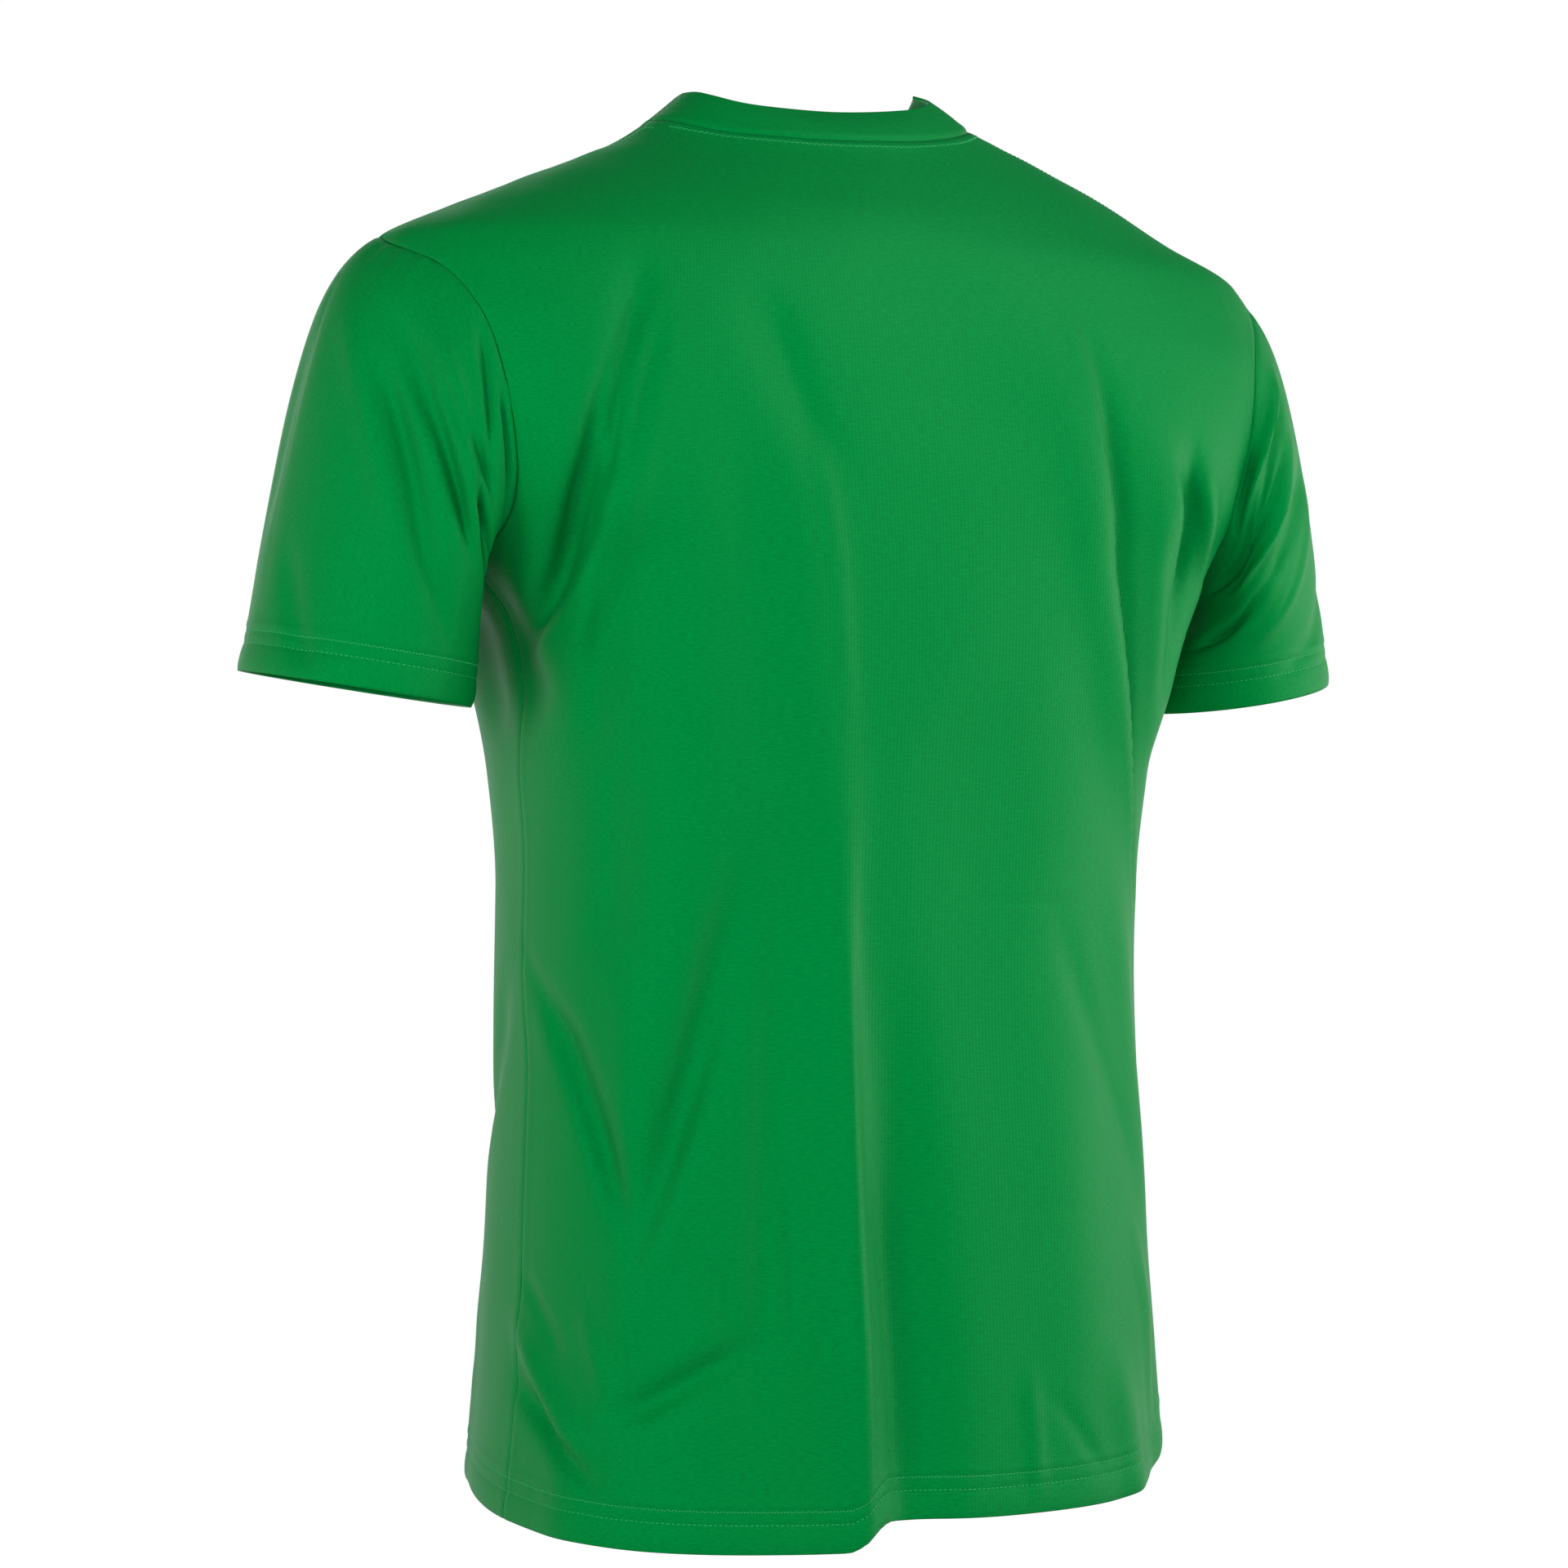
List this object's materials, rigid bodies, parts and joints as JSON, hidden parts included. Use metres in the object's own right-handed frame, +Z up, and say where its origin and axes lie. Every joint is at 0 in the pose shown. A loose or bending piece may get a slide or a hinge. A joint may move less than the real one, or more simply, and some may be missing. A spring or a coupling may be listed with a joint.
{
  "type": "football jersey",
  "caption": "Plain short-sleeved football jersey in its worn, hollow form, with set-in sleeves, a stand-up crew neck band and twin-stitched hems",
  "frame": {"origin": "midway between the two high shoulder points, where the neck and shoulder seams meet and the wearer's shoulders carry the jersey", "axes": "+Z up along the body, the wearer faces -Y, the wearer's left arm is at +X"},
  "size_m": [0.624, 0.2558, 0.7475],
  "materials": {
    "jersey_knit": "fine interlock knit with a soft sheen",
    "band_knit": "the same knit folded double"
  },
  "bodies": {
    "root": {"back_panel": "jersey_knit", "front_panel": "jersey_knit", "sleeve_left": "jersey_knit", "sleeve_right": "jersey_knit", "neck_band": "band_knit"}
  },
  "joints": []
}
